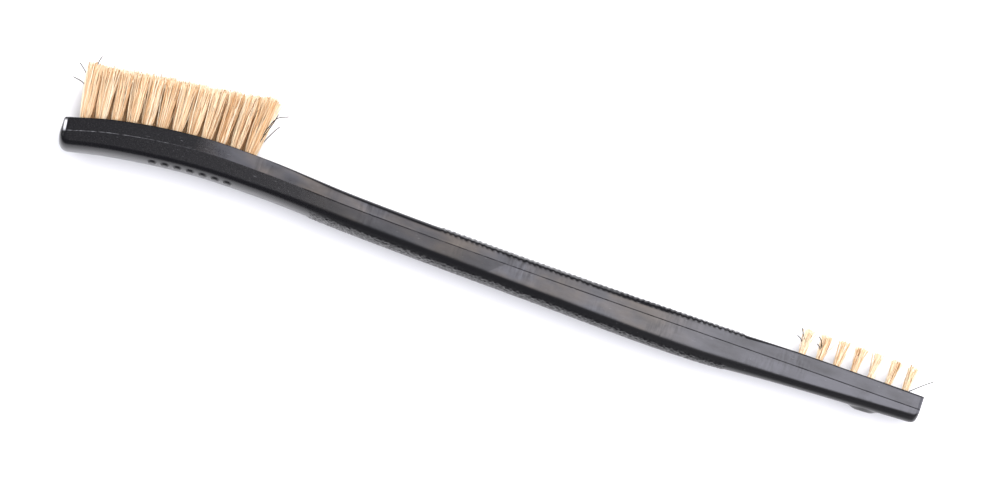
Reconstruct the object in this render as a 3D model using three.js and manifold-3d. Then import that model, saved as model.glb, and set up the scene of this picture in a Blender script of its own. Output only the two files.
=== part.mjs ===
// A double-ended wire hand brush: one moulded handle with a large and a small head, and tufts of
// bronze wire held in blind holes by small brass anchors. Millimetres, +Z up.
// The handle runs along X with the large head at the -X end, the bristles point along +Y, and the
// brush lies on the flat side of its handle, at Z = 0.

import * as THREE from "three";
import { mergeVertices } from "three/addons/utils/BufferGeometryUtils.js";
import Module from "manifold-3d";

const wasm = await Module();
wasm.setup();

// ---- Driving dimensions, in millimetres ----

// Tufts and their holes
const largeHoleDiameter = 2.3;
const holeWall = 0.7; // plastic between neighbouring holes of the large head
const holeClearance = 0.05; // between a tuft's root and its hole
const tipGap = 0.4; // between the tips of neighbouring tufts of the large head
const rootChamfer = 0.3; // where the fold of a tuft rounds off at the bottom of its hole
const crownDepth = 1.2; // from a tuft's widest ring to its tip

const large = {
  count: 12, // in each outer row; the middle row stands between them, with one tuft fewer
  pitch: largeHoleDiameter + holeWall,
  holeDiameter: largeHoleDiameter,
  holeDepth: 4,
  tuftHeight: 10.5, // out of the face
  tipDiameter: largeHoleDiameter + holeWall - tipGap,
  firstLean: -6, // degrees from +Y towards +X, for the tuft at the end of the handle
  lastLean: 2, // degrees, for the tuft beside the neck
  endMargin: 3.7, // from the end of the handle to the first tuft
  neckMargin: 3.6, // from the last tuft to the neck
};

const small = {
  count: 7, // in one row
  pitch: 3.6,
  holeDiameter: 1.7,
  holeDepth: 3,
  tuftHeight: 4.9,
  tipDiameter: 2.2,
  firstLean: 2, // degrees, for the tuft beside the shoulder
  lastLean: 4, // degrees, for the tuft at the end of the handle
  endMargin: 3.8, // from the last tuft to the end of the handle
  neckMargin: 3, // from the shoulder to the first tuft
};

// Anchors: short lengths of flat brass wire, driven in under the fold of each tuft
const anchorThickness = 0.35;
const anchorHeight = 1.3;
const anchorBite = 0.2; // how far each end stands into the plastic beside the hole
const anchorClearance = 0.05; // around an anchor, in its tuft and in the plastic
const anchorRise = 0.6; // from the bottom of the hole to the anchor, where the wires pass under it
const anchorTurn = 45; // degrees from the width of the handle, so that no two anchors line up

// Handle lengths along X
const neckLength = 18.7;
const gripLength = 79;
const shoulderLength = 11.5;

// Handle widths along Z
const handleWidth = 11.5; // large head, neck and first half of the grip
const smallHeadWidth = 6.6;
const tipInset = 0.25; // the outer rows fan out until their tips are this far inside the side faces

// Depths from the parting line, towards the bristles and towards the back
const headFrontDepth = 2.7;
const gripFrontDepth = 2.45;
const largeEndBackDepth = 4.2;
const toeBackDepth = 4.75;
const crownBackDepth = 5.05;
const neckBackDepth = 4.9;
const gripBackDepth = 5.3;
const gripEndBackDepth = 5.6;
const smallHeadBackDepth = 4.45;
const smallEndBackDepth = 2.95;

// Each flat side turns into the back round a quarter of an ellipse: the crowned back of the
// large head becomes a rounded corner at the small one
const cornerDepths = { largeHead: 2.55, neck: 3.1, grip: 3.05, gripEnd: 2.7, smallHead: 2.2 };
const cornerWidths = { largeHead: 5.5, neck: 4.5, grip: 3.6, gripEnd: 2.4, smallHead: 1.9 };

// Where the large head bends, as shares of its length
const toeShare = 0.25;
const crownShare = 0.66;

// Height of the parting line, which gives the handle its S
const seamHeights = {
  largeEnd: -0.4,
  toe: 2.1,
  crown: 4.05,
  headEnd: 3.9,
  gripStart: 2.75,
  gripMiddle: 1.4,
  gripEnd: 0.45,
  smallHead: 0.2,
  smallEnd: -0.5,
};

// Edges and ends
const headEdgeRadius = 0.25;
const gripEdgeRadius = 0.85;
const smallHeadEdgeRadius = 0.4;
const largeCornerRadius = 1.2; // seen from the bristle side
const largeHeelRadius = 2.4; // seen from the side, at the back
const largeLipRadius = 0.4; // seen from the side, at the front
const smallCornerRadius = 1;
const smallHeelRadius = 1.3;

// Two rows of raised pips on the back of the large head, one towards each side
const pipCount = 7; // in each row
const pipLength = 1.6; // along the handle
const pipWidth = 1.3; // across it
const pipPitch = 2.55;
const pipInset = 3.1; // from the middle of the back to the near ends of the pips
const pipHeight = 0.25;
const firstPip = 19; // from the end of the handle to the middle of the first pips

// Oval pad on the back of the small head
const padLength = 6;
const padWidth = 3.6;
const padHeight = 0.6;
const padFromEnd = 10.7; // from the small end to the middle of the pad

// Facets
const sectionSpacing = 3;
const endSteps = 4;
const edgeSteps = 3;
const backSteps = 8; // on each half of the back
const crownSteps = 3; // from a tuft's widest ring to its tip
const roundSides = 10;
const mergeDistance = 1e-5; // vertices closer than this are one

// ---- Stations along the handle ----

const headLength = large.endMargin + (large.count - 1) * large.pitch + large.neckMargin;
const smallHeadLength = small.neckMargin + (small.count - 1) * small.pitch + small.endMargin;
const toeX = headLength * toeShare;
const crownX = headLength * crownShare;
const gripStart = headLength + neckLength;
const gripMiddle = gripStart + gripLength / 2;
const gripEnd = gripStart + gripLength;
const smallHeadStart = gripEnd + shoulderLength;
const overallLength = smallHeadStart + smallHeadLength;

/** A smooth curve through a few [x, value] points, as a function of x. */
function curveThrough(points) {
  const positions = points.map((point) => point[0]);
  const values = points.map((point) => point[1]);
  const interpolant = new THREE.CubicInterpolant(positions, values, 1);
  return (x) => interpolant.evaluate(THREE.MathUtils.clamp(x, 0, overallLength))[0];
}

const seamHeight = curveThrough([
  [0, seamHeights.largeEnd],
  [toeX, seamHeights.toe],
  [crownX, seamHeights.crown],
  [headLength, seamHeights.headEnd],
  [gripStart, seamHeights.gripStart],
  [gripMiddle, seamHeights.gripMiddle],
  [gripEnd, seamHeights.gripEnd],
  [smallHeadStart, seamHeights.smallHead],
  [overallLength, seamHeights.smallEnd],
]);

const frontDepth = curveThrough([
  [0, headFrontDepth],
  [headLength, headFrontDepth],
  [gripStart, gripFrontDepth],
  [gripEnd, gripFrontDepth],
  [smallHeadStart, headFrontDepth],
  [overallLength, headFrontDepth],
]);

const backDepth = curveThrough([
  [0, largeEndBackDepth],
  [toeX, toeBackDepth],
  [crownX, crownBackDepth],
  [gripStart - neckLength / 2, neckBackDepth],
  [gripMiddle, gripBackDepth],
  [gripEnd - shoulderLength / 2, gripEndBackDepth],
  [smallHeadStart, smallHeadBackDepth],
  [overallLength, smallEndBackDepth],
]);

/** A curve through the sizes of the back's corners, as a function of x. */
function cornerCurve(sizes) {
  return curveThrough([
    [0, sizes.largeHead],
    [headLength, sizes.largeHead],
    [gripStart, sizes.neck],
    [gripMiddle, sizes.grip],
    [gripEnd, sizes.gripEnd],
    [smallHeadStart, sizes.smallHead],
    [overallLength, sizes.smallHead],
  ]);
}

const cornerDepth = cornerCurve(cornerDepths);
const cornerWidth = cornerCurve(cornerWidths);

const edgeRadius = curveThrough([
  [0, headEdgeRadius],
  [headLength, headEdgeRadius],
  [gripStart, gripEdgeRadius],
  [gripEnd, gripEdgeRadius],
  [smallHeadStart, smallHeadEdgeRadius],
  [overallLength, smallHeadEdgeRadius],
]);

/** Half the handle's width at x, without its rounded ends. */
function fullHalfWidth(x) {
  const taper = THREE.MathUtils.smoothstep(x, gripMiddle, smallHeadStart);
  return THREE.MathUtils.lerp(handleWidth, smallHeadWidth, taper) / 2;
}

/** How far a rounded corner of the given radius has drawn in, at a distance from the end. */
function cornerInset(distance, radius) {
  const run = Math.max(radius - distance, 0);
  return radius - Math.sqrt(radius * radius - run * run);
}

function halfWidth(x) {
  const largeInset = cornerInset(x, largeCornerRadius);
  const smallInset = cornerInset(overallLength - x, smallCornerRadius);
  return fullHalfWidth(x) - largeInset - smallInset;
}

function frontHeight(x) {
  return seamHeight(x) + frontDepth(x) - cornerInset(x, largeLipRadius);
}

function backHeight(x) {
  const largeInset = cornerInset(x, largeHeelRadius);
  const smallInset = cornerInset(overallLength - x, smallHeelRadius);
  return seamHeight(x) - backDepth(x) + largeInset + smallInset;
}

// ---- Solids ----

/** A closed three.js geometry as a solid that can be cut and joined. */
function solidFrom(geometry) {
  const bare = geometry.clone();
  bare.deleteAttribute("normal");
  bare.deleteAttribute("uv");
  const merged = mergeVertices(bare, mergeDistance);
  const mesh = new wasm.Mesh({
    numProp: 3,
    vertProperties: new Float32Array(merged.attributes.position.array),
    triVerts: new Uint32Array(merged.index.array),
  });
  return new wasm.Manifold(mesh);
}

/** A solid back as a flat-shaded three.js geometry. */
function geometryFrom(solid) {
  const mesh = solid.getMesh();
  const indexed = new THREE.BufferGeometry();
  indexed.setAttribute("position", new THREE.BufferAttribute(mesh.vertProperties, 3));
  indexed.setIndex(new THREE.BufferAttribute(mesh.triVerts, 1));
  const faceted = indexed.toNonIndexed();
  faceted.computeVertexNormals();
  return faceted;
}

/** The handle's outline at x, as [y, z] points round the section, drawn out by grow. */
function sectionAt(x, grow) {
  const width = halfWidth(x) + grow;
  const front = frontHeight(x);
  const back = backHeight(x) - grow;
  const edge = edgeRadius(x);
  const roundDepth = Math.min(cornerDepth(x), seamHeight(x) - back) + grow;
  const roundWidth = Math.min(cornerWidth(x), halfWidth(x)) + grow;
  const side = [];
  for (let step = 0; step <= edgeSteps; step += 1) {
    const turn = (Math.PI / 2) * (step / edgeSteps);
    const y = front - edge + edge * Math.cos(turn);
    const z = width - edge + edge * Math.sin(turn);
    side.push([y, z]);
  }
  for (let step = 0; step <= backSteps; step += 1) {
    const turn = (Math.PI / 2) * (step / backSteps);
    const y = back + roundDepth - roundDepth * Math.sin(turn);
    const z = width - roundWidth + roundWidth * Math.cos(turn);
    side.push([y, z]);
  }
  const otherSide = side.map(([y, z]) => [y, -z]).reverse();
  return [...side, ...otherSide];
}

/** A closed skin over the handle's sections at the given places along X. */
function loft(places, grow) {
  const rings = places.map((x) => sectionAt(x, grow).map(([y, z]) => [x, y, z]));
  const sides = rings[0].length;
  const index = [];
  for (let ring = 0; ring + 1 < rings.length; ring += 1) {
    for (let side = 0; side < sides; side += 1) {
      const a = ring * sides + side;
      const b = ring * sides + ((side + 1) % sides);
      index.push(a, b, a + sides);
      index.push(b, b + sides, a + sides);
    }
  }
  const last = (rings.length - 1) * sides;
  for (let side = 1; side + 1 < sides; side += 1) {
    index.push(0, side + 1, side);
    index.push(last, last + side, last + side + 1);
  }
  const geometry = new THREE.BufferGeometry();
  geometry.setAttribute("position", new THREE.Float32BufferAttribute(rings.flat(2), 3));
  geometry.setIndex(index);
  return geometry;
}

/** Places of the handle's sections: close together round the ends and evenly spaced between. */
function sectionPlaces() {
  const places = [];
  for (let step = 0; step < endSteps; step += 1) {
    const turn = (Math.PI / 2) * (step / endSteps);
    places.push(largeHeelRadius * (1 - Math.cos(turn)));
  }
  const evenStart = largeHeelRadius;
  const evenEnd = overallLength - smallHeelRadius;
  const spans = Math.round((evenEnd - evenStart) / sectionSpacing);
  for (let span = 0; span <= spans; span += 1) {
    places.push(THREE.MathUtils.lerp(evenStart, evenEnd, span / spans));
  }
  for (let step = 1; step <= endSteps; step += 1) {
    const turn = (Math.PI / 2) * (step / endSteps);
    places.push(evenEnd + smallHeelRadius * Math.sin(turn));
  }
  return places;
}

/** A turned shape about its own Y axis, from [radius, height] points that start and end on it. */
function turned(profile) {
  const points = profile.map(([radius, height]) => new THREE.Vector2(radius, height));
  return new THREE.LatheGeometry(points, roundSides);
}

// ---- Tufts: where each one stands ----

const fanRoom = (handleWidth - large.tipDiameter) / 2 - tipInset - large.pitch;
const fanAngle = Math.asin(fanRoom / (large.holeDepth + large.tuftHeight));
const largeRowPitch = large.pitch + large.holeDepth * Math.sin(fanAngle);

/** A place on the bristle face, turned so that its own +Y runs up the tuft. */
function tuftFrame(head, x, row, share) {
  const frame = new THREE.Object3D();
  const lean = THREE.MathUtils.lerp(head.firstLean, head.lastLean, share);
  frame.position.set(x, frontHeight(x), row * largeRowPitch);
  frame.rotation.order = "ZXY";
  frame.rotation.set(
    row * fanAngle,
    THREE.MathUtils.degToRad(anchorTurn),
    THREE.MathUtils.degToRad(-lean),
  );
  frame.updateMatrix();
  return frame;
}

/** Every tuft of a row: its frame, and the start of its pieces' names. */
function rowPlaces(head, start, rowName, row, count) {
  const places = [];
  const firstStep = (head.count - count) / 2;
  for (let number = 1; number <= count; number += 1) {
    const steps = firstStep + number - 1;
    const x = start + steps * head.pitch;
    const share = steps / (head.count - 1);
    const tag = `${rowName}_${String(number).padStart(2, "0")}`;
    places.push({ frame: tuftFrame(head, x, row, share), tag });
  }
  return places;
}

const smallStart = smallHeadStart + small.neckMargin;
const largePlaces = [
  ...rowPlaces(large, large.endMargin, "large_lower", -1, large.count),
  ...rowPlaces(large, large.endMargin, "large_middle", 0, large.count - 1),
  ...rowPlaces(large, large.endMargin, "large_upper", 1, large.count),
];
const smallPlaces = rowPlaces(small, smallStart, "small", 0, small.count);

// ---- Pieces ----

/** An anchor in its tuft's frame, drawn out on every side by the given clearance. */
function anchorShape(head, clearance) {
  const box = new THREE.BoxGeometry(
    anchorThickness + 2 * clearance,
    anchorHeight + 2 * clearance,
    head.holeDiameter + 2 * anchorBite + 2 * clearance,
  );
  return box.translate(0, anchorRise + anchorHeight / 2 - head.holeDepth, 0);
}

/** What a tuft's hole takes out of the handle: the blind bore and the anchor's seat in its wall. */
function holeShape(head) {
  const radius = head.holeDiameter / 2;
  const bore = turned([
    [0, -head.holeDepth],
    [radius, -head.holeDepth],
    [radius, head.holeDepth],
    [0, head.holeDepth],
  ]);
  return solidFrom(bore).add(solidFrom(anchorShape(head, anchorClearance)));
}

/** A bundle of folded wire: round in its hole, flaring to a crowned tip, slotted for its anchor. */
function tuftShape(head) {
  const rootRadius = head.holeDiameter / 2 - holeClearance;
  const tipRadius = head.tipDiameter / 2;
  const bottom = -head.holeDepth + holeClearance;
  const crown = [];
  for (let step = 0; step < crownSteps; step += 1) {
    const turn = (Math.PI / 2) * (step / crownSteps);
    const height = head.tuftHeight - crownDepth * (1 - Math.sin(turn));
    crown.push([tipRadius * Math.cos(turn), height]);
  }
  const bundle = turned([
    [0, bottom],
    [rootRadius - rootChamfer, bottom],
    [rootRadius, bottom + rootChamfer],
    [rootRadius, 0],
    ...crown,
    [0, head.tuftHeight],
  ]);
  const slot = anchorShape(head, anchorClearance);
  return geometryFrom(solidFrom(bundle).subtract(solidFrom(slot)));
}

/** Raised pips on the back of the large head, following its curve. */
function pips() {
  const places = sectionPlaces().filter((x) => x <= gripStart);
  const raisedSkin = solidFrom(loft(places, pipHeight));
  const boxes = [];
  for (let pip = 0; pip < pipCount; pip += 1) {
    const x = firstPip + pip * pipPitch;
    const reach = backDepth(x);
    for (const side of [-1, 1]) {
      const box = new THREE.BoxGeometry(pipLength, reach, pipWidth);
      box.translate(x, backHeight(x) + reach / 4, side * (pipInset + pipWidth / 2));
      boxes.push(solidFrom(box));
    }
  }
  return raisedSkin.intersect(wasm.Manifold.union(boxes));
}

/** The low oval pad on the back of the small head. */
function pad() {
  const x = overallLength - padFromEnd;
  const reach = backDepth(x) / 2;
  const oval = new THREE.CylinderGeometry(1, 1, reach + padHeight, 2 * roundSides);
  oval.scale(padLength / 2, 1, padWidth / 2);
  oval.translate(x, backHeight(x) + (reach - padHeight) / 2, 0);
  return solidFrom(oval);
}

/** The moulded handle: its lofted body, the marks on its back, and a blind hole for each tuft. */
function handleShape() {
  const body = solidFrom(loft(sectionPlaces(), 0)).add(pips()).add(pad());
  const holes = [];
  for (const [head, places] of [[large, largePlaces], [small, smallPlaces]]) {
    const hole = holeShape(head);
    for (const place of places) {
      holes.push(hole.transform(place.frame.matrix.toArray()));
    }
  }
  return geometryFrom(body.subtract(wasm.Manifold.union(holes)));
}

// ---- Materials ----

const plastic = new THREE.MeshStandardMaterial({ color: "#1c1c1f", roughness: 0.4, metalness: 0 });
const bronze = new THREE.MeshStandardMaterial({ color: "#c9a06a", roughness: 0.4, metalness: 0.9 });
const brass = new THREE.MeshStandardMaterial({ color: "#c2a14e", roughness: 0.35, metalness: 1 });

// ---- Assembly ----

/** One named piece, standing in the given tuft's frame. */
function pieceAt(place, name, geometry, material) {
  const mesh = new THREE.Mesh(geometry, material);
  mesh.name = name;
  mesh.position.copy(place.frame.position);
  mesh.rotation.copy(place.frame.rotation);
  return mesh;
}

const brush = new THREE.Group();

const handle = new THREE.Mesh(handleShape(), plastic);
handle.name = "handle";
brush.add(handle);

const largeTuft = tuftShape(large);
for (const place of largePlaces) {
  brush.add(pieceAt(place, `${place.tag}_tuft`, largeTuft, bronze));
}

const smallTuft = tuftShape(small);
const smallAnchor = anchorShape(small, 0);
for (const place of smallPlaces) {
  brush.add(pieceAt(place, `${place.tag}_tuft`, smallTuft, bronze));
  brush.add(pieceAt(place, `${place.tag}_anchor`, smallAnchor, brass));
}

// The origin is under the middle of the brush, with the handle's flat side on Z = 0.
brush.updateMatrixWorld(true);
const bounds = new THREE.Box3().setFromObject(brush, true);
const middle = bounds.getCenter(new THREE.Vector3());
brush.position.set(-middle.x, -middle.y, -bounds.min.z);

const group = new THREE.Group();
group.add(brush);

export default group;
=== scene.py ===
import math

import bpy
import numpy as np
from mathutils import Matrix, Vector


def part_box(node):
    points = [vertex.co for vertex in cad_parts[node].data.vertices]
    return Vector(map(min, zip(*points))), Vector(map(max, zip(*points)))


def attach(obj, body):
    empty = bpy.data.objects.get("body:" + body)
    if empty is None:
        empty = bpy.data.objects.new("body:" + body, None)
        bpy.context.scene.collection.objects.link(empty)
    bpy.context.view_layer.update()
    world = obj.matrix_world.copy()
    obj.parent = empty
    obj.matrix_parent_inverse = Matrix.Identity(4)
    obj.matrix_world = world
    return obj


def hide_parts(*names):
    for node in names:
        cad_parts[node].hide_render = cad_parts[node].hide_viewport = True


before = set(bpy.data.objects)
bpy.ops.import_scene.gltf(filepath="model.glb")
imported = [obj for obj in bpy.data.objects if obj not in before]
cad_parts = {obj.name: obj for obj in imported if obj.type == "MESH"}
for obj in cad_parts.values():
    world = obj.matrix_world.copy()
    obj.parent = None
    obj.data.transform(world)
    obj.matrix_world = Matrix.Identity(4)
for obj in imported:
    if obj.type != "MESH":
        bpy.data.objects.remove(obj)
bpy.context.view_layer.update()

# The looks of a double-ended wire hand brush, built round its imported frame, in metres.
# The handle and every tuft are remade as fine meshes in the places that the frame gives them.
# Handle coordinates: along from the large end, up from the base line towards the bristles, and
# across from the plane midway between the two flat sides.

MM = 0.001
BODY = "root"
RNG_SEED = 20

# ---- Sizes ----

HEAD_LENGTH = 40.3 * MM
NECK_LENGTH = 18.7 * MM
GRIP_LENGTH = 79 * MM
SHOULDER_LENGTH = 11.5 * MM
SMALL_HEAD_LENGTH = 28.4 * MM

HANDLE_WIDTH = 11.5 * MM
SMALL_HEAD_WIDTH = 6.6 * MM

GRIP_START = HEAD_LENGTH + NECK_LENGTH
GRIP_MIDDLE = GRIP_START + GRIP_LENGTH / 2
GRIP_END = GRIP_START + GRIP_LENGTH
SMALL_HEAD_START = GRIP_END + SHOULDER_LENGTH
LENGTH = SMALL_HEAD_START + SMALL_HEAD_LENGTH
TOE = 0.25 * HEAD_LENGTH
CROWN = 0.66 * HEAD_LENGTH

LARGE_CORNER_RADIUS = 1.2 * MM
LARGE_HEEL_RADIUS = 2.4 * MM
LARGE_LIP_RADIUS = 0.4 * MM
SMALL_CORNER_RADIUS = 1.0 * MM
SMALL_HEEL_RADIUS = 1.3 * MM

LARGE = {
    "count": 12,
    "pitch": 3.0 * MM,
    "hole_diameter": 2.3 * MM,
    "hole_depth": 4.0 * MM,
    "height": 10.5 * MM,
    "tip_diameter": 2.6 * MM,
    "lean": (-6, 2),
    "start": 3.7 * MM,
    "wire_pairs": 56,
    "flare": 0.5,
    "flare_power": 0.6,
    "scatter": 0.26 * MM,
}
SMALL = {
    "count": 7,
    "pitch": 3.6 * MM,
    "hole_diameter": 1.7 * MM,
    "hole_depth": 3.0 * MM,
    "height": 4.9 * MM,
    "tip_diameter": 2.2 * MM,
    "lean": (2, 4),
    "start": SMALL_HEAD_START + 3.0 * MM,
    "wire_pairs": 30,
    "flare": 0.45,
    "flare_power": 1.4,
    "scatter": 0.3 * MM,
}
LARGE_ROWS = {"lower": (-1, 12), "middle": (0, 11), "upper": (1, 12)}
TIP_INSET = 0.25 * MM
ANCHOR_THICKNESS = 0.35 * MM
ANCHOR_HEIGHT = 1.3 * MM
ANCHOR_BITE = 0.2 * MM
ANCHOR_RISE = 0.6 * MM
ANCHOR_TURN = math.radians(45)
WIRE_RADIUS = 0.08 * MM
STRAY_RADIUS = 0.1 * MM
STRAY_TONE = 0.13
WIRE_SIDES = 5


# ---- The handle's outline ----

def curve_through(points):
    """A smooth curve through (place, value) points, as a function of an array of places."""
    places = np.array([p for p, _ in points])
    values = np.array([v for _, v in points])
    climbs = np.diff(values) / np.diff(places)
    slopes = np.concatenate([climbs[:1], (climbs[:-1] + climbs[1:]) / 2, climbs[-1:]])

    def value(along):
        x = np.clip(along, places[0], places[-1])
        k = np.clip(np.searchsorted(places, x, side="right") - 1, 0, len(places) - 2)
        span = places[k + 1] - places[k]
        t = (x - places[k]) / span
        keep = 1 - t
        start = values[k] * (1 + 2 * t) * keep * keep + slopes[k] * span * t * keep * keep
        end = values[k + 1] * t * t * (3 - 2 * t) - slopes[k + 1] * span * t * t * keep
        return start + end

    return value


def scaled(points):
    return curve_through([(place, value * MM) for place, value in points])


seam_height = scaled([
    (0, -0.4),
    (TOE, 2.1),
    (CROWN, 4.05),
    (HEAD_LENGTH, 3.9),
    (GRIP_START, 2.75),
    (GRIP_MIDDLE, 1.4),
    (GRIP_END, 0.45),
    (SMALL_HEAD_START, 0.2),
    (LENGTH, -0.5),
])
front_depth = scaled([
    (0, 2.7),
    (HEAD_LENGTH, 2.7),
    (GRIP_START, 2.45),
    (GRIP_END, 2.45),
    (SMALL_HEAD_START, 2.7),
    (LENGTH, 2.7),
])
back_depth = scaled([
    (0, 4.2),
    (TOE, 4.75),
    (CROWN, 5.05),
    (GRIP_START - NECK_LENGTH / 2, 4.9),
    (GRIP_MIDDLE, 5.3),
    (GRIP_END - SHOULDER_LENGTH / 2, 5.6),
    (SMALL_HEAD_START, 4.45),
    (LENGTH, 2.95),
])
corner_depth = scaled([
    (0, 2.55),
    (HEAD_LENGTH, 2.55),
    (GRIP_START, 3.1),
    (GRIP_MIDDLE, 3.05),
    (GRIP_END, 2.7),
    (SMALL_HEAD_START, 2.2),
    (LENGTH, 2.2),
])
corner_width = scaled([
    (0, 5.5),
    (HEAD_LENGTH, 5.5),
    (GRIP_START, 4.5),
    (GRIP_MIDDLE, 3.6),
    (GRIP_END, 2.4),
    (SMALL_HEAD_START, 1.9),
    (LENGTH, 1.9),
])
edge_radius = scaled([
    (0, 0.25),
    (HEAD_LENGTH, 0.25),
    (GRIP_START, 0.85),
    (GRIP_END, 0.85),
    (SMALL_HEAD_START, 0.4),
    (LENGTH, 0.4),
])


def smooth_step(low, high, value):
    t = np.clip((value - low) / (high - low), 0, 1)
    return t * t * (3 - 2 * t)


def corner_inset(distance, radius):
    run = np.maximum(radius - distance, 0)
    return radius - np.sqrt(np.maximum(radius * radius - run * run, 0))


def half_width(along):
    taper = smooth_step(GRIP_MIDDLE, SMALL_HEAD_START, along)
    full = HANDLE_WIDTH + (SMALL_HEAD_WIDTH - HANDLE_WIDTH) * taper
    large_inset = corner_inset(along, LARGE_CORNER_RADIUS)
    small_inset = corner_inset(LENGTH - along, SMALL_CORNER_RADIUS)
    return full / 2 - large_inset - small_inset


def front_height(along):
    return seam_height(along) + front_depth(along) - corner_inset(along, LARGE_LIP_RADIUS)


def back_height(along):
    large_inset = corner_inset(along, LARGE_HEEL_RADIUS)
    small_inset = corner_inset(LENGTH - along, SMALL_HEEL_RADIUS)
    return seam_height(along) - back_depth(along) + large_inset + small_inset


# Where handle coordinates lie in the frame: the handle's own box gives the offsets.
handle_low, handle_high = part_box("handle")
lowest_back = float(back_height(np.linspace(0, LENGTH, 2000)).min())
OFFSET = np.array([
    handle_low.x,
    handle_low.y - lowest_back,
    (handle_low.z + handle_high.z) / 2,
])


def to_frame(points):
    """Handle coordinates (along, up, across) as places in the frame."""
    return np.asarray(points, float) + OFFSET


# ---- Mesh helpers ----

def new_object(name, vertices, faces, smooth=True):
    mesh = bpy.data.meshes.new(name)
    mesh.from_pydata(np.asarray(vertices).tolist(), [], [list(f) for f in faces])
    mesh.update()
    if smooth:
        mesh.polygons.foreach_set("use_smooth", np.ones(len(mesh.polygons), bool))
    piece = bpy.data.objects.new(name, mesh)
    bpy.context.scene.collection.objects.link(piece)
    return piece


def set_attribute(piece, name, values):
    attribute = piece.data.attributes.new(name, "FLOAT", "POINT")
    attribute.data.foreach_set("value", np.asarray(values, np.float32))


def vertex_places(piece):
    places = np.empty(len(piece.data.vertices) * 3)
    piece.data.vertices.foreach_get("co", places)
    return places.reshape(-1, 3)


def apply_modifiers(piece):
    graph = bpy.context.evaluated_depsgraph_get()
    made = bpy.data.meshes.new_from_object(piece.evaluated_get(graph))
    piece.modifiers.clear()
    piece.data = made


# ---- Surface detail of the handle ----

def cell_bumps(u, v, pitch, seed, jitter):
    """Low pebbles on a jittered grid of the given pitch, from 0 between them to 1 on top."""
    cell_u = np.floor(u / pitch).astype(int)
    cell_v = np.floor(v / pitch).astype(int)
    height = np.zeros_like(u)
    for step_u in (-1, 0, 1):
        for step_v in (-1, 0, 1):
            i = cell_u + step_u
            j = cell_v + step_v
            noise = np.sin(i * 127.1 + j * 311.7 + seed) * 43758.5453
            noise = noise - np.floor(noise)
            other = np.sin(i * 269.5 + j * 183.3 + seed) * 24634.6345
            other = other - np.floor(other)
            centre_u = (i + 0.5 + jitter * (noise - 0.5)) * pitch
            centre_v = (j + 0.5 + jitter * (other - 0.5)) * pitch
            distance = np.hypot(u - centre_u, v - centre_v) / (pitch * 0.62)
            size = 0.75 + 0.25 * noise
            bump = size * np.clip(1 - distance * distance, 0, 1) ** 1.5
            height = np.maximum(height, bump)
    return height


def along_mask(along, start, end, soft):
    """1 between two places along the handle, falling to 0 over a soft length at each."""
    rise = smooth_step(start - soft, start + soft, along)
    return rise * (1 - smooth_step(end - soft, end + soft, along))


FRONT_PANEL = (GRIP_START + 18 * MM, GRIP_END + 2.6 * MM)
FRONT_PITCH = 1.1 * MM
FRONT_ASPECT = 0.45
FRONT_RELIEF = 0.28 * MM
BACK_PANEL = (GRIP_START - 7.6 * MM, GRIP_END + 0.6 * MM)
BACK_PITCH = 0.62 * MM
BACK_RELIEF = 0.2 * MM
PIP_COUNT = 7
PIP_PITCH = 2.55 * MM
FIRST_PIP = 19 * MM
PIP_LENGTH = 1.6 * MM
PIP_INSET = 3.1 * MM
PIP_WIDTH = 1.3 * MM
PIP_HEIGHT = 0.25 * MM
PAD_CENTRE = LENGTH - 10.7 * MM
PAD_LENGTH = 6.0 * MM
PAD_WIDTH = 3.6 * MM
PAD_HEIGHT = 0.6 * MM


def relief(along, across, around, front_share, back_share):
    """How far the surface stands out of the smooth handle.

    around is the distance round the section from the middle of the front. The shares say how
    much of the front panel's and the back panel's grain each column of points carries.
    """
    girth = around[:, -1:]
    signed = np.where(around > girth / 2, around - girth, around)
    front = cell_bumps(along, signed * FRONT_ASPECT, FRONT_PITCH, 3.0, 0.15) * FRONT_RELIEF
    front *= front_share * along_mask(along, *FRONT_PANEL, 0.8 * MM)
    back = cell_bumps(along, around, BACK_PITCH, 8.0, 0.7) * BACK_RELIEF
    back *= back_share * along_mask(along, *BACK_PANEL, 0.4 * MM)
    nearest_pip = np.clip(np.round((along - FIRST_PIP) / PIP_PITCH), 0, PIP_COUNT - 1)
    pip_along = (along - FIRST_PIP - nearest_pip * PIP_PITCH) / (PIP_LENGTH / 2)
    pip_across = (np.abs(across) - PIP_INSET - PIP_WIDTH / 2) / (PIP_WIDTH / 2)
    pip = np.abs(pip_along) ** 4 + np.abs(pip_across) ** 4
    pips = (1 - smooth_step(0.7, 1.35, pip)) * PIP_HEIGHT
    pad_distance = np.hypot((along - PAD_CENTRE) / (PAD_LENGTH / 2), across / (PAD_WIDTH / 2))
    pad = (1 - smooth_step(0.45, 1.15, pad_distance)) * PAD_HEIGHT
    raised = (pips + pad) * (back_share > 0)
    return front + back + raised


# ---- The handle's mesh ----

GROOVE_HALF = 0.07 * MM
GROOVE_DEPTH = 0.11 * MM
FRONT_POINTS = 15
EDGE_POINTS = 8
SIDE_POINTS = 4
FLAT_POINTS = 4
CORNER_POINTS = 22
BACK_POINTS = 8
END_RINGS = 12
PLAIN_SPACING = 0.5 * MM
GRAIN_SPACING = 0.22 * MM
FINE_SPACING = 0.18 * MM
PAD_REACH = 4 * MM


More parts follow.
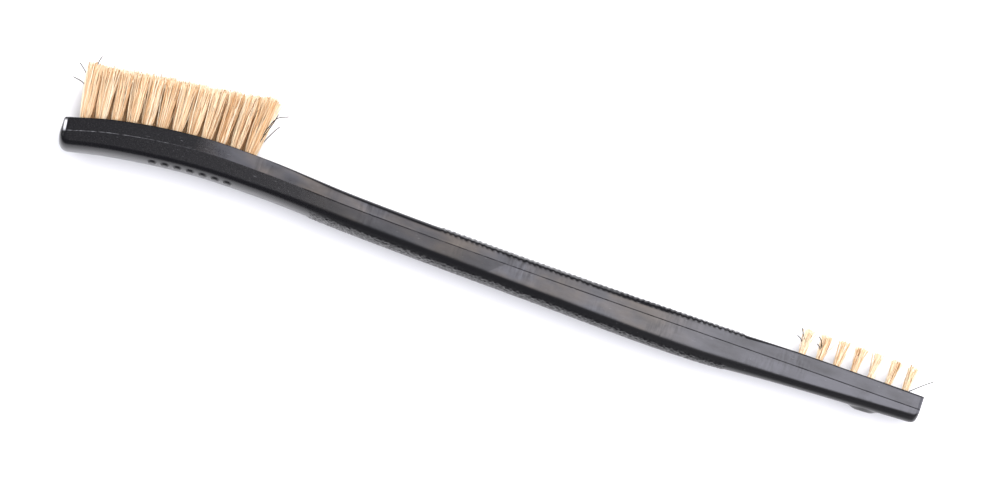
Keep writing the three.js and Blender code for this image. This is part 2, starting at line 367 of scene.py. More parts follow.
def ring_places():
    """Places of the handle's rings: dense where the surface has detail and round the ends."""
    turns = np.linspace(0, math.pi / 2, END_RINGS + 1)[:-1]
    large_end = LARGE_HEEL_RADIUS * (1 - np.cos(turns))
    small_end = LENGTH - SMALL_HEEL_RADIUS * (1 - np.cos(turns))
    pips_start = FIRST_PIP - 2 * MM
    pips_end = FIRST_PIP + PIP_COUNT * PIP_PITCH
    grain_start = BACK_PANEL[0] - 1 * MM
    grain_end = FRONT_PANEL[1] + 1 * MM
    stretches = [
        (LARGE_HEEL_RADIUS, pips_start, PLAIN_SPACING),
        (pips_start, pips_end, FINE_SPACING),
        (pips_end, grain_start, PLAIN_SPACING),
        (grain_start, grain_end, GRAIN_SPACING),
        (grain_end, PAD_CENTRE - PAD_REACH, PLAIN_SPACING),
        (PAD_CENTRE - PAD_REACH, PAD_CENTRE + PAD_REACH, FINE_SPACING),
        (PAD_CENTRE + PAD_REACH, LENGTH - SMALL_HEEL_RADIUS, PLAIN_SPACING),
    ]
    even = []
    for start, end, spacing in stretches:
        count = max(int(round((end - start) / spacing)), 1)
        even.append(np.linspace(start, end, count, endpoint=False))
    return np.concatenate([large_end, *even, small_end[::-1]])


def groove_depth(along):
    """The parting line is deep beside the neck, fainter along the grip and crisp at the small end."""
    x = along / MM
    neck = 0.8 * smooth_step(47, 51, x) * (1 - 0.55 * smooth_step(64, 74, x))
    small_end = 0.64 * smooth_step(100, 116, x)
    ripple = 1 + 0.25 * np.sin(x / 1.7) * np.sin(x / 0.63)
    return GROOVE_DEPTH * (neck + small_end) * ripple


def half_section(along):
    """One side of the section at each place, from the middle of the front to that of the back.

    Each column is (up, across, share of the front grain, share of the back grain).
    """
    front = front_height(along)
    seam = seam_height(along)
    back = back_height(along)
    width = half_width(along)
    edge = edge_radius(along)
    depth = np.minimum(corner_depth(along), seam - back)
    breadth = np.minimum(corner_width(along), width)
    groove = groove_depth(along)
    columns = []
    for share in np.linspace(0, 1, FRONT_POINTS + 1)[:-1]:
        columns.append((front, share * (width - edge), 1, 0))
    for turn in np.linspace(0, math.pi / 2, EDGE_POINTS):
        up = front - edge + edge * math.cos(turn)
        grain = 1 - smooth_step(0.8, 1.35, turn)
        columns.append((up, width - edge + edge * math.sin(turn), grain, 0))
    upper_lip = seam + 2 * GROOVE_HALF
    lower_lip = seam - 2 * GROOVE_HALF
    for share in np.linspace(0, 1, SIDE_POINTS + 1)[1:]:
        columns.append(((front - edge) * (1 - share) + upper_lip * share, width, 0, 0))
    columns.append((seam + GROOVE_HALF, width, 0, 0))
    columns.append((seam, width - groove, 0, 0))
    columns.append((seam - GROOVE_HALF, width, 0, 0))
    columns.append((lower_lip, width, 0, 0))
    for share in np.linspace(0, 1, FLAT_POINTS + 1)[1:]:
        flat_end = np.minimum(back + depth, lower_lip)
        columns.append((lower_lip * (1 - share) + flat_end * share, width, 0, 0))
    for turn in np.linspace(0, math.pi / 2, CORNER_POINTS + 1)[1:]:
        up = back + depth - depth * math.sin(turn)
        grain = smooth_step(0.58, 0.78, turn)
        columns.append((up, width - breadth + breadth * math.cos(turn), 0, grain))
    for share in np.linspace(0, 1, BACK_POINTS + 1)[1:]:
        columns.append((back, (width - breadth) * (1 - share), 0, 1))
    return columns


def handle_grid():
    """The handle's surface as a grid of points: rings along it, columns round it."""
    along = ring_places()
    side = half_section(along)
    mirrored = [(up, -across, front, back) for up, across, front, back in side[-2:0:-1]]
    columns = side + mirrored
    up = np.stack([c[0] for c in columns], axis=1)
    across = np.stack([c[1] for c in columns], axis=1)
    front_share = np.array([c[2] for c in columns])
    back_share = np.array([c[3] for c in columns])
    grid = np.stack([np.broadcast_to(along[:, None], up.shape), up, across], axis=2)
    step = np.linalg.norm(np.roll(grid, -1, axis=1) - grid, axis=2)
    around = np.cumsum(step, axis=1) - step
    round_step = np.roll(grid, -1, axis=1) - np.roll(grid, 1, axis=1)
    long_step = np.gradient(grid, axis=0)
    normal = np.cross(long_step, round_step)
    normal /= np.maximum(np.linalg.norm(normal, axis=2, keepdims=True), 1e-12)
    outward = grid[..., 1:] - grid[..., 1:].mean(axis=1, keepdims=True)
    if np.sum(normal[..., 1:] * outward) < 0:
        normal = -normal
    out = relief(grid[..., 0], grid[..., 2], around, front_share, back_share)
    return grid + normal * out[..., None]


def build_handle():
    grid = to_frame(handle_grid())
    rings, sides = grid.shape[:2]
    vertices = grid.reshape(-1, 3)
    ring = np.arange(rings - 1)[:, None] * sides
    side = np.arange(sides)[None, :]
    following = (side + 1) % sides
    quads = np.stack([
        ring + side,
        ring + following,
        ring + sides + following,
        ring + sides + side,
    ], axis=2).reshape(-1, 4)
    start_cap = list(range(sides))[::-1]
    end_cap = [(rings - 1) * sides + k for k in range(sides)]
    faces = quads.tolist() + [start_cap, end_cap]
    return new_object("handle_body", vertices, faces)


def describe_surface(handle):
    """Describes each point for the material: its place along the handle and above the parting
    line in millimetres, how near it is to a flat side, and whether it is on a grained panel."""
    places = vertex_places(handle) - OFFSET
    along = np.clip(places[:, 0], 0, LENGTH)
    set_attribute(handle, "along", along / MM)
    set_attribute(handle, "above", (places[:, 1] - seam_height(along)) / MM)
    set_attribute(handle, "sideways", np.abs(places[:, 2]) / half_width(along))
    up = places[:, 1]
    into_front = up - front_height(along) + 0.35 * edge_radius(along)
    into_back = back_height(along) + 0.4 * corner_depth(along) - up
    front = smooth_step(0, 0.2 * MM, into_front) * along_mask(along, *FRONT_PANEL, 0.5 * MM)
    back = smooth_step(0, 0.2 * MM, into_back) * along_mask(along, *BACK_PANEL, 0.3 * MM)
    set_attribute(handle, "grip_grain", np.maximum(front, back))


# ---- Tufts: where each one stands ----

def tuft_turn(lean, fan):
    """Rotation of a tuft that leans along the handle and fans out across it, in radians."""
    return Matrix.Rotation(-lean, 3, "Z") @ Matrix.Rotation(fan, 3, "X")


FAN_ROOM = (HANDLE_WIDTH - LARGE["tip_diameter"]) / 2 - TIP_INSET - LARGE["pitch"]
FAN_ANGLE = math.asin(FAN_ROOM / (LARGE["hole_depth"] + LARGE["height"]))
ROW_PITCH = LARGE["pitch"] + LARGE["hole_depth"] * math.sin(FAN_ANGLE)


def tuft_place(head, steps, row):
    """Origin on the bristle face, and rotation, of the tuft so many pitches from the first."""
    along = head["start"] + steps * head["pitch"]
    share = steps / (head["count"] - 1)
    lean = head["lean"][0] * (1 - share) + head["lean"][1] * share
    origin = to_frame([along, float(front_height(along)), row * ROW_PITCH])
    return origin, np.array(tuft_turn(math.radians(lean), row * FAN_ANGLE))


def all_tufts():
    """Every tuft: (head, pitches from the first, row, start of its pieces' names)."""
    for row_name, (row, count) in LARGE_ROWS.items():
        for number in range(count):
            steps = (LARGE["count"] - count) / 2 + number
            yield LARGE, steps, row, f"large_{row_name}_{number + 1:02d}"
    for number in range(SMALL["count"]):
        yield SMALL, number, 0, f"small_{number + 1:02d}"


# ---- Holes ----

def hole_cutter(head, origin, turn):
    """Vertices and faces of a round plug with a flared mouth, to cut a tuft's hole."""
    radius = head["hole_diameter"] / 2
    profile = [
        (radius, -head["hole_depth"]),
        (radius, -0.15 * MM),
        (radius + 0.04 * MM, -0.05 * MM),
        (radius + 0.14 * MM, 0.05 * MM),
        (radius + 0.3 * MM, 0.8 * MM),
    ]
    sides = 28
    turns = np.linspace(0, 2 * math.pi, sides, endpoint=False)
    vertices = []
    for reach, up in profile:
        for angle in turns:
            vertices.append((reach * math.cos(angle), up, reach * math.sin(angle)))
    faces = []
    for ring in range(len(profile) - 1):
        for side in range(sides):
            following = (side + 1) % sides
            a = ring * sides
            faces.append((a + side, a + sides + side, a + sides + following, a + following))
    faces.append(tuple(range(sides)))
    top = (len(profile) - 1) * sides
    faces.append(tuple(top + side for side in reversed(range(sides))))
    return np.array(vertices) @ turn.T + origin, faces


def cut_holes(handle):
    vertices, faces = [], []
    for head, steps, row, _ in all_tufts():
        origin, turn = tuft_place(head, steps, row)
        places, sides = hole_cutter(head, origin, turn)
        offset = len(vertices)
        vertices.extend(places)
        faces.extend([tuple(offset + k for k in face) for face in sides])
    cutter = new_object("hole_cutter", vertices, faces)
    cut = handle.modifiers.new("holes", "BOOLEAN")
    cut.operation = "DIFFERENCE"
    cut.solver = "MANIFOLD"
    cut.object = cutter
    apply_modifiers(handle)
    bpy.data.objects.remove(cutter)
    handle.data.set_sharp_from_angle(angle=math.radians(55))


# ---- Wires ----

def tube_mesh(paths, radius, sides, reference):
    """Closed round tubes along paths, an array (wire, point, 3), as vertices and outward faces."""
    wires, points = paths.shape[:2]
    tangent = np.gradient(paths, axis=1)
    tangent /= np.linalg.norm(tangent, axis=2, keepdims=True)
    first = np.cross(tangent, reference)
    first /= np.maximum(np.linalg.norm(first, axis=2, keepdims=True), 1e-9)
    second = np.cross(first, tangent)
    turns = np.linspace(0, 2 * math.pi, sides, endpoint=False)
    ring = (
        first[:, :, None, :] * np.cos(turns)[None, None, :, None]
        + second[:, :, None, :] * np.sin(turns)[None, None, :, None]
    )
    vertices = (paths[:, :, None, :] + ring * radius).reshape(-1, 3)
    wire = np.arange(wires)[:, None, None] * points * sides
    level = np.arange(points - 1)[None, :, None] * sides
    side = np.arange(sides)[None, None, :]
    following = (side + 1) % sides
    base = wire + level
    quads = np.stack([
        base + side,
        base + sides + side,
        base + sides + following,
        base + following,
    ], axis=3).reshape(-1, 4)
    faces = quads.tolist()
    for k in range(wires):
        start = k * points * sides
        end = start + (points - 1) * sides
        faces.append([start + side for side in range(sides)])
        faces.append([end + side for side in reversed(range(sides))])
    return vertices, faces


def half_disc(count, radius, rng):
    """Points spread evenly over the half of a disc with x above 0."""
    spots = []
    golden = math.pi * (3 - math.sqrt(5))
    total = 2 * count + 8
    for k in range(total):
        reach = radius * math.sqrt((k + 0.5) / total)
        angle = k * golden
        spot = (reach * math.cos(angle), reach * math.sin(angle))
        if spot[0] > 0:
            spots.append(spot)
    spots = np.array(spots[:count])
    return spots + rng.normal(0, 0.02 * MM, spots.shape)


LEG_SHARES = np.array([0, 0.12, 0.28, 0.45, 0.62, 0.78, 0.9, 1.0])
CUT_SPREAD = 0.16 * MM
WILD_SHARE = 0.1
WILD_DRIFT = 2.2
BOW = 0.12 * MM
CRIMP = 0.035 * MM


def leg_paths(head, roots, rng, height, spread):
    """Legs of wires from their roots on the face to their tips, as (wire, point, 3)."""
    count = len(roots)
    share = LEG_SHARES[None, :]
    length = height * (1 + rng.normal(0, 0.03, count)) + rng.normal(0, CUT_SPREAD, count)
    drift = rng.normal(0, head["scatter"], (count, 2))
    wild = rng.random(count) < WILD_SHARE
    drift[wild] *= WILD_DRIFT
    drift += spread
    bow = rng.normal(0, BOW, (count, 2))
    phase = rng.uniform(0, 2 * math.pi, count)
    crimp = CRIMP * np.sin(share * 16 + phase[:, None])
    paths = np.empty((count, len(LEG_SHARES), 3))
    paths[:, :, 1] = length[:, None] * share
    for axis, column in ((0, 0), (2, 1)):
        reach = roots[:, column, None]
        paths[:, :, axis] = (
            reach * (1 + head["flare"] * share ** head["flare_power"])
            + drift[:, column, None] * share ** 1.6
            + bow[:, column, None] * np.sin(share * math.pi)
            + crimp
        )
    return paths


def tuft_paths(head, rng, height, spread):
    """Centre lines of a tuft's folded wires in its own frame, from tip to fold to tip."""
    radius = head["hole_diameter"] / 2 - WIRE_RADIUS - 0.01 * MM
    spots = half_disc(head["wire_pairs"], radius, rng)
    turn = np.array([
        [math.cos(ANCHOR_TURN), math.sin(ANCHOR_TURN)],
        [-math.sin(ANCHOR_TURN), math.cos(ANCHOR_TURN)],
    ])
    here = spots @ turn.T
    there = (spots * [-1, 1]) @ turn.T
    legs = leg_paths(head, here, rng, height, spread)
    others = leg_paths(head, there, rng, height, spread)
    bottom = -head["hole_depth"] + ANCHOR_RISE
    clear = np.maximum(np.abs(spots[:, 0]), ANCHOR_THICKNESS / 2 + WIRE_RADIUS)
    low = bottom - 0.12 * MM - 0.35 * np.abs(spots[:, 0])
    fold = np.empty((len(spots), 5, 3))
    fold_across = np.stack([clear, 0.8 * clear, 0 * clear, -0.8 * clear, -clear], axis=1)
    rise = ANCHOR_HEIGHT * 0.9
    fold[:, :, 1] = np.stack([bottom + rise + 0 * low, low + 0.1 * MM, low,
                              low + 0.1 * MM, bottom + rise + 0 * low], axis=1)
    fold[:, :, 0] = fold_across * turn[0, 0] + spots[:, 1, None] * turn[0, 1]
    fold[:, :, 2] = fold_across * turn[1, 0] + spots[:, 1, None] * turn[1, 1]
    return np.concatenate([legs[:, ::-1], fold, others], axis=1)


def tuft_height(head, steps, rng):
    """Cut height of a tuft: taller at both ends of the large head."""
    taller = 0.0
    if head is LARGE:
        from_last = head["count"] - 1 - steps
        taller = 1.3 * math.exp(-steps / 1.5) + 2.0 * math.exp(-from_last / 1.6) - 1.0
    return head["height"] + (taller - 0.15) * MM + rng.normal(0, 0.1 * MM)


def tuft_spread(head, steps, row):
    """How far the tips splay: towards the neck at both ends of the row, and outwards across it."""
    end_push = 0.0
    if head is LARGE:
        from_last = head["count"] - 1 - steps
        end_push = 0.35 * MM * (math.exp(-from_last / 1.2) + 0.8 * math.exp(-steps / 1.2))
    return np.array([end_push, 0.1 * MM * row])


# Stray wires: the tuft each one leaves, and its points in handle millimetres (along, up, across).
STRAYS = [
    ("large_upper_01", [(2.9, 6.5, 3.4), (2.3, 8.6, 3.6), (1.2, 9.8, 3.8), (-0.9, 10.3, 4.0)]),
    ("large_upper_01", [(2.9, 8.5, 3.2), (2.2, 10.4, 3.4), (1.0, 12.0, 3.6), (-0.5, 13.3, 3.7)]),
    ("large_upper_02", [(3.6, 10.4, 3.4), (3.2, 12.4, 3.8), (3.0, 14.4, 4.2), (3.35, 15.9, 4.3)]),
    ("large_upper_12", [(37.9, 10.4, 3.5), (38.7, 12.8, 3.8), (39.8, 14.9, 4.0), (41.9, 15.9, 4.1)]),
    ("large_upper_12", [(37.9, 9.4, 3.5), (38.6, 11.6, 3.9), (39.4, 13.9, 4.2), (39.8, 15.7, 4.3)]),
    ("large_lower_12", [(37.6, 8.4, -3.5), (38.6, 10.6, -3.9), (39.6, 12.5, -4.1), (40.3, 13.6, -4.2)]),
    ("small_01", [(152.7, 4.2, 0.1), (152.3, 5.2, 0.4), (151.6, 6.4, 0.7), (150.9, 7.7, 0.8)]),
    ("small_01", [(152.6, 3.8, -0.2), (152.0, 4.8, 0.1), (151.3, 5.6, 0.3), (150.5, 6.0, 0.4)]),
    ("small_02", [(156.0, 4.0, 0.1), (155.7, 4.7, 0.4), (155.2, 5.3, 0.7), (154.7, 5.6, 0.8)]),
    ("small_02", [(155.9, 4.6, 0.3), (155.6, 5.6, 0.6), (155.3, 6.4, 0.9), (154.6, 7.1, 1.0)]),
    ("small_07", [(174.9, 2.3, 0.2), (175.9, 3.2, 0.6), (177.3, 4.4, 0.9), (179.0, 5.7, 1.0)]),
]


def smooth_path(points, count):
    """A curve through four chosen points, as count points."""
    spots = np.array(points) * MM
    places = np.linspace(0, 1, len(spots))
    wanted = np.linspace(0, 1, count)
    axes = [curve_through(list(zip(places, spots[:, axis])))(wanted) for axis in range(3)]
    return np.stack(axes, axis=1)


PALE_TONES = (0.5, 1.0)
BROWN_TONES = (0.2, 0.32)
BROWN_SHARE = 0.11


def wire_tones(paths, head, row, rng):
    """A tone for each point of each wire: most wires are pale and some brown. Wires near the flanks of
    a tuft are darker, and the middle row of the large head is browner below its tips: painted shade
    in the gaps between the tufts."""
    count = len(paths)
    tones = rng.uniform(*PALE_TONES, count)
    flank = np.abs(paths[:, 0, 0]) / (head["tip_diameter"] / 2)
    # Wires near the flanks of each tuft are darker: painted shade between neighbouring tufts.
    tones -= 0.24 * np.clip(flank, 0, 1) ** 4
    brown = rng.random(count) < BROWN_SHARE
    tones[brown] = rng.uniform(*BROWN_TONES, count)[brown]
    tones = np.broadcast_to(tones[:, None], paths.shape[:2])
    # The middle row is browner below its tips: painted shade in the gaps between the outer tufts.
    if head is LARGE and row == 0:
        above_gap_shade = smooth_step(0.7, 1.0, paths[:, :, 1] / head["height"])
        painted_gap_shade = BROWN_TONES[0] + 0.26 * tones
        tones = painted_gap_shade + (tones - painted_gap_shade) * above_gap_shade
    return np.clip(tones, BROWN_TONES[0], 1)


def build_tuft(head, steps, row, tag, rng):
    origin, turn = tuft_place(head, steps, row)
    height = tuft_height(head, steps, rng)
    paths = tuft_paths(head, rng, height, tuft_spread(head, steps, row))
    wire_tone = wire_tones(paths, head, row, rng)
    paths = paths @ turn.T + origin
    floor_gap = WIRE_RADIUS + 0.03 * MM
    paths[:, :, 2] = np.maximum(paths[:, :, 2], floor_gap)
    reference = turn @ np.array([math.sin(ANCHOR_TURN), 0, math.cos(ANCHOR_TURN)])
    vertices, faces = tube_mesh(paths, WIRE_RADIUS, WIRE_SIDES, reference)
    tones = np.repeat(wire_tone, WIRE_SIDES)
    for name, points in STRAYS:
        if name == tag:
            stray = to_frame(smooth_path(points, 14))[None]
            more, more_faces = tube_mesh(stray, STRAY_RADIUS, WIRE_SIDES, np.array([0, 0, 1.0]))
            offset = len(vertices)
            vertices = np.concatenate([vertices, more])
            faces += [[offset + k for k in face] for face in more_faces]
            tones = np.concatenate([tones, np.full(len(more), STRAY_TONE)])
    piece = new_object(f"{tag}_wires", vertices, faces)
    set_attribute(piece, "tone", tones)
    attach(piece, BODY)
    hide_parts(f"{tag}_tuft")
    return piece


# ---- Anchors of the large head ----

def build_anchor(head, steps, row, tag):
    origin, turn = tuft_place(head, steps, row)
    size = Vector((ANCHOR_THICKNESS, ANCHOR_HEIGHT, head["hole_diameter"] + 2 * ANCHOR_BITE))
    middle = Vector((0, ANCHOR_RISE + ANCHOR_HEIGHT / 2 - head["hole_depth"], 0))
    seat = Matrix.Rotation(ANCHOR_TURN, 3, "Y")
    corners = []
    for x in (-0.5, 0.5):
        for y in (-0.5, 0.5):
            for z in (-0.5, 0.5):
                corner = seat @ Vector((x * size.x, y * size.y, z * size.z)) + middle
                corners.append(turn @ np.array(corner) + origin)
    faces = [(0, 1, 3, 2), (4, 6, 7, 5), (0, 4, 5, 1), (2, 3, 7, 6), (0, 2, 6, 4), (1, 5, 7, 3)]
    piece = new_object(f"{tag}_anchor_flat", corners, faces, smooth=False)
    bevel = piece.modifiers.new("edges", "BEVEL")
    bevel.width = 0.06 * MM
    bevel.segments = 2
    apply_modifiers(piece)
    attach(piece, BODY)
    return piece


# ---- Materials ----

def new_material(name):
    material = bpy.data.materials.new(name)
    material.use_nodes = True
    nodes = material.node_tree.nodes
    nodes.clear()
    output = nodes.new("ShaderNodeOutputMaterial")
    shader = nodes.new("ShaderNodeBsdfPrincipled")
    material.node_tree.links.new(shader.outputs[0], output.inputs[0])
    return material, nodes, material.node_tree.links, shader


def value_of(links, source, socket):
    """Feeds a number or another node's output into a socket."""
    if isinstance(source, (int, float)):
        socket.default_value = source
    else:
        links.new(source, socket)


def math_node(nodes, links, operation, first, second=0.0, clamp=False):
    node = nodes.new("ShaderNodeMath")
    node.operation = operation
    node.use_clamp = clamp
    value_of(links, first, node.inputs[0])
    value_of(links, second, node.inputs[1])
    return node.outputs[0]


def noise_node(nodes, links, vector, scale, detail=2.0, roughness=0.5):
    node = nodes.new("ShaderNodeTexNoise")
    node.inputs["Scale"].default_value = scale
    node.inputs["Detail"].default_value = detail
    node.inputs["Roughness"].default_value = roughness
    links.new(vector, node.inputs["Vector"])
    return node.outputs["Fac"]


def range_node(nodes, links, value, low, high, to_low=0.0, to_high=1.0):
    node = nodes.new("ShaderNodeMapRange")
    node.inputs["From Min"].default_value = low
    node.inputs["From Max"].default_value = high
    node.inputs["To Min"].default_value = to_low
    node.inputs["To Max"].default_value = to_high
    links.new(value, node.inputs["Value"])
    return node.outputs["Result"]


def mix_colours(nodes, links, share, first, second):
    node = nodes.new("ShaderNodeMix")
    node.data_type = "RGBA"
    links.new(share, node.inputs["Factor"])
    for source, socket in ((first, node.inputs["A"]), (second, node.inputs["B"])):
        if isinstance(source, tuple):
            socket.default_value = (*source, 1)
        else:
            links.new(source, socket)
    return node.outputs["Result"]


def attribute_node(nodes, name):
    node = nodes.new("ShaderNodeAttribute")
    node.attribute_name = name
    return node.outputs["Fac"]


def object_millimetres(nodes, links, stretch=(1, 1, 1)):
    """Object coordinates in millimetres, stretched along each axis."""
    coordinates = nodes.new("ShaderNodeTexCoord")
    mapping = nodes.new("ShaderNodeMapping")
    mapping.inputs["Scale"].default_value = [1000 * s for s in stretch]
    links.new(coordinates.outputs["Object"], mapping.inputs["Vector"])
    return mapping.outputs["Vector"]


def window(nodes, links, value, low, high, soft):
    """1 while a value is between two others, falling smoothly to 0 over a soft step at each."""
    rise = range_node(nodes, links, value, low - soft, low + soft)
    fall = range_node(nodes, links, value, high - soft, high + soft, 1.0, 0.0)
    return math_node(nodes, links, "MULTIPLY", rise, fall)


def surface_place(nodes, links, along, above, along_scale, above_scale):
    """A place on the handle's side, scaled along the handle and across it."""
    combine = nodes.new("ShaderNodeCombineXYZ")
    links.new(math_node(nodes, links, "MULTIPLY", along, along_scale), combine.inputs["X"])
    links.new(math_node(nodes, links, "MULTIPLY", above, above_scale), combine.inputs["Y"])
    return combine.outputs["Vector"]


def add(nodes, links, *values):
    total = values[0]
    for value in values[1:]:
        total = math_node(nodes, links, "ADD", total, value)
    return total


def times(nodes, links, *values):
    product = values[0]
    for value in values[1:]:
        product = math_node(nodes, links, "MULTIPLY", product, value)
    return product


def film_and_painted_sheen_on_sides(nodes, links, along, above, sideways):
    """A grey film on the flat sides, on the bristle side of the parting line from the large head's last
    tufts on, and below it from the neck on, lighter towards the small end: partly a film of handling,
    partly a painted reflection of the overhead light. Places are in millimetres."""
    side = range_node(nodes, links, sideways, 0.984, 0.998)
    below = range_node(nodes, links, above, 0.02, -0.02)
    front = math_node(nodes, links, "SUBTRACT", 1.0, below)
    start_below = times(nodes, links, below, range_node(nodes, links, along, 48, 66), 0.3)
    start_front = times(nodes, links, front, range_node(nodes, links, along, 26, 34), 0.55)
    slant = math_node(nodes, links, "SUBTRACT", along, times(nodes, links, above, 1.16))
    slanted_step = times(nodes, links, below, range_node(nodes, links, slant, 91.3, 91.6), 0.3)
    # Lighter towards the small end: painted reflection of the overhead light.
    far = times(nodes, links, range_node(nodes, links, along, 120, 174), 0.12)
    far_below = times(nodes, links, below, range_node(nodes, links, along, 150, 176), 0.4)
    clouds = noise_node(nodes, links, surface_place(nodes, links, along, above, 0.14, 0.35), 1.0, 5)
    streaks = noise_node(nodes, links, surface_place(nodes, links, along, above, 1.5, 0.3), 1.0, 4)
    patches = noise_node(nodes, links, surface_place(nodes, links, along, above, 0.09, 0.1), 1.0, 1)
    streak = times(nodes, links, range_node(nodes, links, streaks, 0.35, 0.65, -0.45, 0.45),
                   range_node(nodes, links, patches, 0.5, 0.62))
    texture = add(nodes, links, range_node(nodes, links, clouds, 0.3, 0.7, 0.5, 1.5), streak)
    amount = add(nodes, links, start_below, start_front, slanted_step, far, far_below)
    return times(nodes, links, amount, side, texture)


def pale_marks_and_highlight(nodes, links, along, above, sideways):
    """A pale line painted along the parting line near the large end: a painted highlight. Also a pale
    band near the large end's corner, scratches and dust.
    """
    side = range_node(nodes, links, sideways, 0.97, 0.99)
    breaks = noise_node(nodes, links, surface_place(nodes, links, along, above, 0.9, 0.6), 1.0, 5)
    broken = range_node(nodes, links, breaks, 0.4, 0.6)
    # Painted highlight along the parting line near the large end.
    line = times(nodes, links, window(nodes, links, above, -0.03, 0.03, 0.03),
                 range_node(nodes, links, along, 1.0, 2.0),
                 range_node(nodes, links, along, 32, 6), broken, 0.42)
    slanted = math_node(nodes, links, "ADD", along, times(nodes, links, above, 0.12))
    corner = times(nodes, links, window(nodes, links, slanted, 0.55, 1.05, 0.1),
                   window(nodes, links, above, 0.1, 2.1, 0.3),
                   range_node(nodes, links, breaks, 0.3, 0.55, 0.6, 1.2))
    fine = noise_node(nodes, links, surface_place(nodes, links, along, above, 0.5, 6.0), 1.0, 2)
    scratches = times(nodes, links, range_node(nodes, links, fine, 0.71, 0.76), 0.16, side)
    specks = noise_node(nodes, links, surface_place(nodes, links, along, above, 2.9, 2.9), 1.0, 1)
    dust = times(nodes, links, range_node(nodes, links, specks, 0.79, 0.83), 0.2)
    return add(nodes, links, times(nodes, links, line, side), corner, scratches, dust)


def pebbles(nodes, links, vector, scale):
    """Rounded pebbles, as a height."""
    node = nodes.new("ShaderNodeTexVoronoi")
    node.feature = "SMOOTH_F1"
    node.inputs["Scale"].default_value = scale
    node.inputs["Smoothness"].default_value = 0.4
    links.new(vector, node.inputs["Vector"])
    return math_node(nodes, links, "SUBTRACT", 1.0, node.outputs["Distance"])


def bump_node(nodes, links, height, strength, distance, below=None):
    node = nodes.new("ShaderNodeBump")
    value_of(links, strength, node.inputs["Strength"])
    node.inputs["Distance"].default_value = distance
    links.new(height, node.inputs["Height"])
    if below is not None:
        links.new(below, node.inputs["Normal"])
    return node.outputs["Normal"]


CLEAN_BLACK = (0.004, 0.0038, 0.005)
# The film colours also carry a painted reflection on the flat sides.
BLUISH_FILM_AND_SHEEN = (0.078, 0.078, 0.09)
BROWNISH_FILM_AND_SHEEN = (0.1, 0.083, 0.07)
# Grey of the pale marks and of the painted highlight on the parting line.
PALE_MARK_AND_HIGHLIGHT_GREY = (0.6, 0.6, 0.63)


def plastic_material():
    """Black moulded plastic with grained panels, a grey film on the flat sides that is partly handling
    film and partly painted reflection, painted shade in the parting line's groove, a painted highlight
    along the parting line, pale marks, scratches and dust.
    """
    material, nodes, links, shader = new_material("black_plastic")
    along = attribute_node(nodes, "along")
    above = attribute_node(nodes, "above")
    sideways = attribute_node(nodes, "sideways")
    grained = attribute_node(nodes, "grip_grain")
    place = object_millimetres(nodes, links)
    grain = noise_node(nodes, links, place, 7.0, 3.0)
    # Grey film on the flat sides: partly handling film, partly a painted reflection of the overhead
    # light.
    film_and_sheen = film_and_painted_sheen_on_sides(nodes, links, along, above, sideways)
    # Pale marks, with a painted highlight along the parting line near the large end.
    marks_and_highlight = pale_marks_and_highlight(nodes, links, along, above, sideways)
    # From the neck on, the film is kept out of the parting line's groove, so the groove stays clean
    # black: painted shade in the groove.
    groove = times(nodes, links, window(nodes, links, above, -0.07, 0.07, 0.03),
                   range_node(nodes, links, along, 46, 51))
    outside_groove_shade = math_node(nodes, links, "SUBTRACT", 1.0, groove)
    tint = noise_node(nodes, links, surface_place(nodes, links, along, above, 0.07, 0.12), 1.0, 3)
    tint = times(nodes, links, range_node(nodes, links, tint, 0.42, 0.58),
                 range_node(nodes, links, along, 135, 120))
    film_and_sheen_colour = mix_colours(nodes, links, tint, BLUISH_FILM_AND_SHEEN, BROWNISH_FILM_AND_SHEEN)
    with_film_and_sheen = mix_colours(nodes, links, times(nodes, links, film_and_sheen, outside_groove_shade), CLEAN_BLACK, film_and_sheen_colour)
    with_marks_and_highlight = mix_colours(nodes, links, marks_and_highlight, with_film_and_sheen, PALE_MARK_AND_HIGHLIGHT_GREY)
    links.new(with_marks_and_highlight, shader.inputs["Base Color"])
    rough = add(nodes, links, range_node(nodes, links, grain, 0.3, 0.7, 0.21, 0.29),
                range_node(nodes, links, along, 40, 70, 0.0, 0.08))
    rough = add(nodes, links, rough, times(nodes, links, film_and_sheen, 0.12),
                times(nodes, links, grained, -0.06))
    links.new(rough, shader.inputs["Roughness"])
    shader.inputs["IOR"].default_value = 1.5
    skin = bump_node(nodes, links, grain, 0.2, 0.02 * MM)
    stones = pebbles(nodes, links, place, 1.9)
    stippled = bump_node(nodes, links, stones, times(nodes, links, grained, 0.9), 0.12 * MM, skin)
    links.new(stippled, shader.inputs["Normal"])
    return material


def bronze_material():
    """Phosphor-bronze wire: each wire has its own tone, from near-black (the stray wires) through brown
    to pale. The brown tones also carry painted shade between the tufts.
    """
    material, nodes, links, shader = new_material("bronze_wire")
    tone = attribute_node(nodes, "tone")
    ramp = nodes.new("ShaderNodeValToRGB")
    stops = [
        (0.0, (0.012, 0.011, 0.012)),
        (0.14, (0.03, 0.025, 0.022)),
        (0.2, (0.34, 0.15, 0.055)),
        (0.32, (0.72, 0.44, 0.22)),
        (0.7, (0.94, 0.76, 0.52)),
        (1.0, (1.0, 0.93, 0.76)),
    ]
    elements = ramp.color_ramp.elements
    while len(elements) < len(stops):
        elements.new(0.5)
    for element, (position, colour) in zip(elements, stops):
        element.position = position
        element.color = (*colour, 1)
    links.new(tone, ramp.inputs["Fac"])
    links.new(ramp.outputs["Color"], shader.inputs["Base Color"])
    shader.inputs["Metallic"].default_value = 0.45
    shader.inputs["Roughness"].default_value = 0.38
    return material


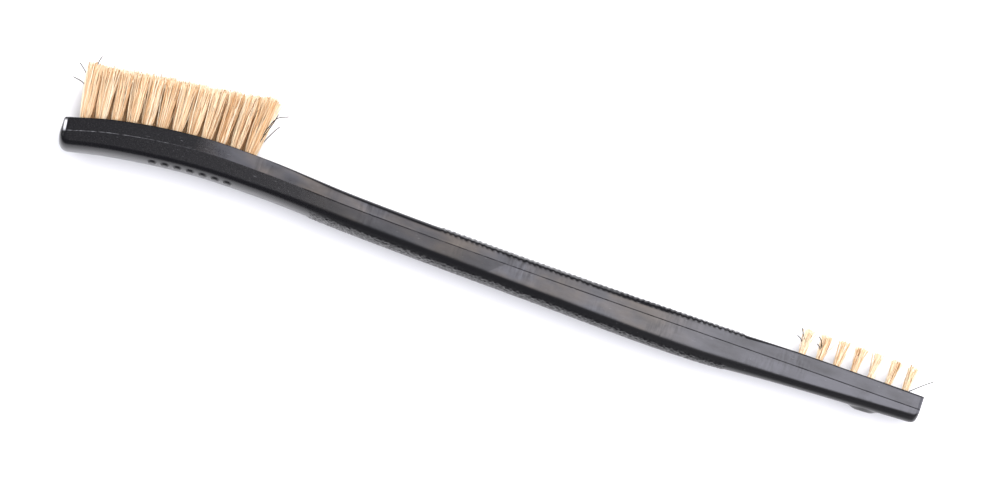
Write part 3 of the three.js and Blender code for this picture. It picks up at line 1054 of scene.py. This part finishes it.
def brass_material():
    """Flat brass wire, drawn and cut."""
    material, nodes, links, shader = new_material("anchor_brass")
    place = object_millimetres(nodes, links, (1, 8, 1))
    streak = noise_node(nodes, links, place, 1.5, 2.0)
    colour = mix_colours(nodes, links, streak, (0.62, 0.45, 0.18), (0.78, 0.6, 0.28))
    links.new(colour, shader.inputs["Base Color"])
    shader.inputs["Metallic"].default_value = 1.0
    shader.inputs["Roughness"].default_value = 0.35
    return material


def table_material():
    """A matt white table."""
    material, nodes, links, shader = new_material("table_white")
    shader.inputs["Base Color"].default_value = (0.82, 0.82, 0.83, 1)
    shader.inputs["Roughness"].default_value = 0.9
    return material


# ---- Camera, floor and light ----

def build_camera():
    """Straight overhead, turned so that the handle runs down to the right."""
    distance = 0.8
    picture_width = 196.85 * MM
    scale_height = 3.0 * MM
    sensor_width = 36
    handle_tilt = math.radians(18.034)
    data = bpy.data.cameras.new("camera")
    data.sensor_width = sensor_width
    data.lens = sensor_width * (distance - scale_height) / picture_width
    data.clip_start = 0.01
    data.clip_end = 10
    camera = bpy.data.objects.new("camera", data)
    middle = to_frame([89.0 * MM, 5.16 * MM, 0])
    camera.location = (middle[0], middle[1], middle[2] + distance)
    camera.rotation_euler = (0, 0, handle_tilt)
    bpy.context.scene.collection.objects.link(camera)
    bpy.context.scene.camera = camera


def build_floor():
    half = 3.0
    drop = -0.02 * MM
    corners = [(-half, -half, drop), (half, -half, drop), (half, half, drop), (-half, half, drop)]
    floor = new_object("floor", corners, [(0, 1, 2, 3)])
    floor.data.materials.append(table_material())


def area_light(name, place, aim, size, power, colour=(1, 1, 1), mirrored=True):
    """A soft rectangular light. One that isn't mirrored gives light but no highlight of itself."""
    data = bpy.data.lights.new(name, "AREA")
    data.shape = "RECTANGLE"
    data.size, data.size_y = size
    data.energy = power
    data.color = colour
    light = bpy.data.objects.new(name, data)
    light.location = place
    light.rotation_euler = (Vector(aim) - Vector(place)).to_track_quat("-Z", "Y").to_euler()
    light.visible_glossy = mirrored
    bpy.context.scene.collection.objects.link(light)


def build_light():
    world = bpy.data.worlds.new("studio")
    world.use_nodes = True
    backdrop = world.node_tree.nodes["Background"]
    backdrop.inputs["Color"].default_value = (0.92, 0.93, 1.0, 1)
    rays = world.node_tree.nodes.new("ShaderNodeLightPath")
    strength = range_node(world.node_tree.nodes, world.node_tree.links,
                          rays.outputs["Is Glossy Ray"], 0, 1, 0.95, 0.13)
    world.node_tree.links.new(strength, backdrop.inputs["Strength"])
    bpy.context.scene.world = world
    area_light("overhead", (0.49, 0.06, 1.15), (0.49, 0.06, 0), (0.98, 0.75), 13, (0.98, 0.96, 1))
    area_light("key", (0.15, 0.75, 1.3), (0, 0, 0), (0.6, 0.6), 19, (1, 0.98, 0.97), mirrored=False)
    area_light("right_low", (0.85, -1.0, 0.55), (0.1, 0, 0), (1.3, 0.9), 2.6)
    area_light("left", (-0.9, 0.3, 0.75), (-0.06, 0, 0), (0.6, 0.8), 3, (0.96, 0.98, 1))


# ---- Assembly ----

rng = np.random.default_rng(RNG_SEED)

build_camera()
build_floor()
build_light()

handle = build_handle()
cut_holes(handle)
describe_surface(handle)
handle.data.materials.clear()
handle.data.materials.append(plastic_material())
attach(handle, BODY)
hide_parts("handle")

bronze = bronze_material()
brass = brass_material()
for head, steps, row, tag in all_tufts():
    tuft = build_tuft(head, steps, row, tag, rng)
    tuft.data.materials.append(bronze)
    if head is LARGE:
        anchor = build_anchor(head, steps, row, tag)
        anchor.data.materials.append(brass)
    else:
        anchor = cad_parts[f"{tag}_anchor"]
        anchor.data.materials.clear()
        anchor.data.materials.append(brass)

bpy.context.scene.view_settings.view_transform = "Standard"
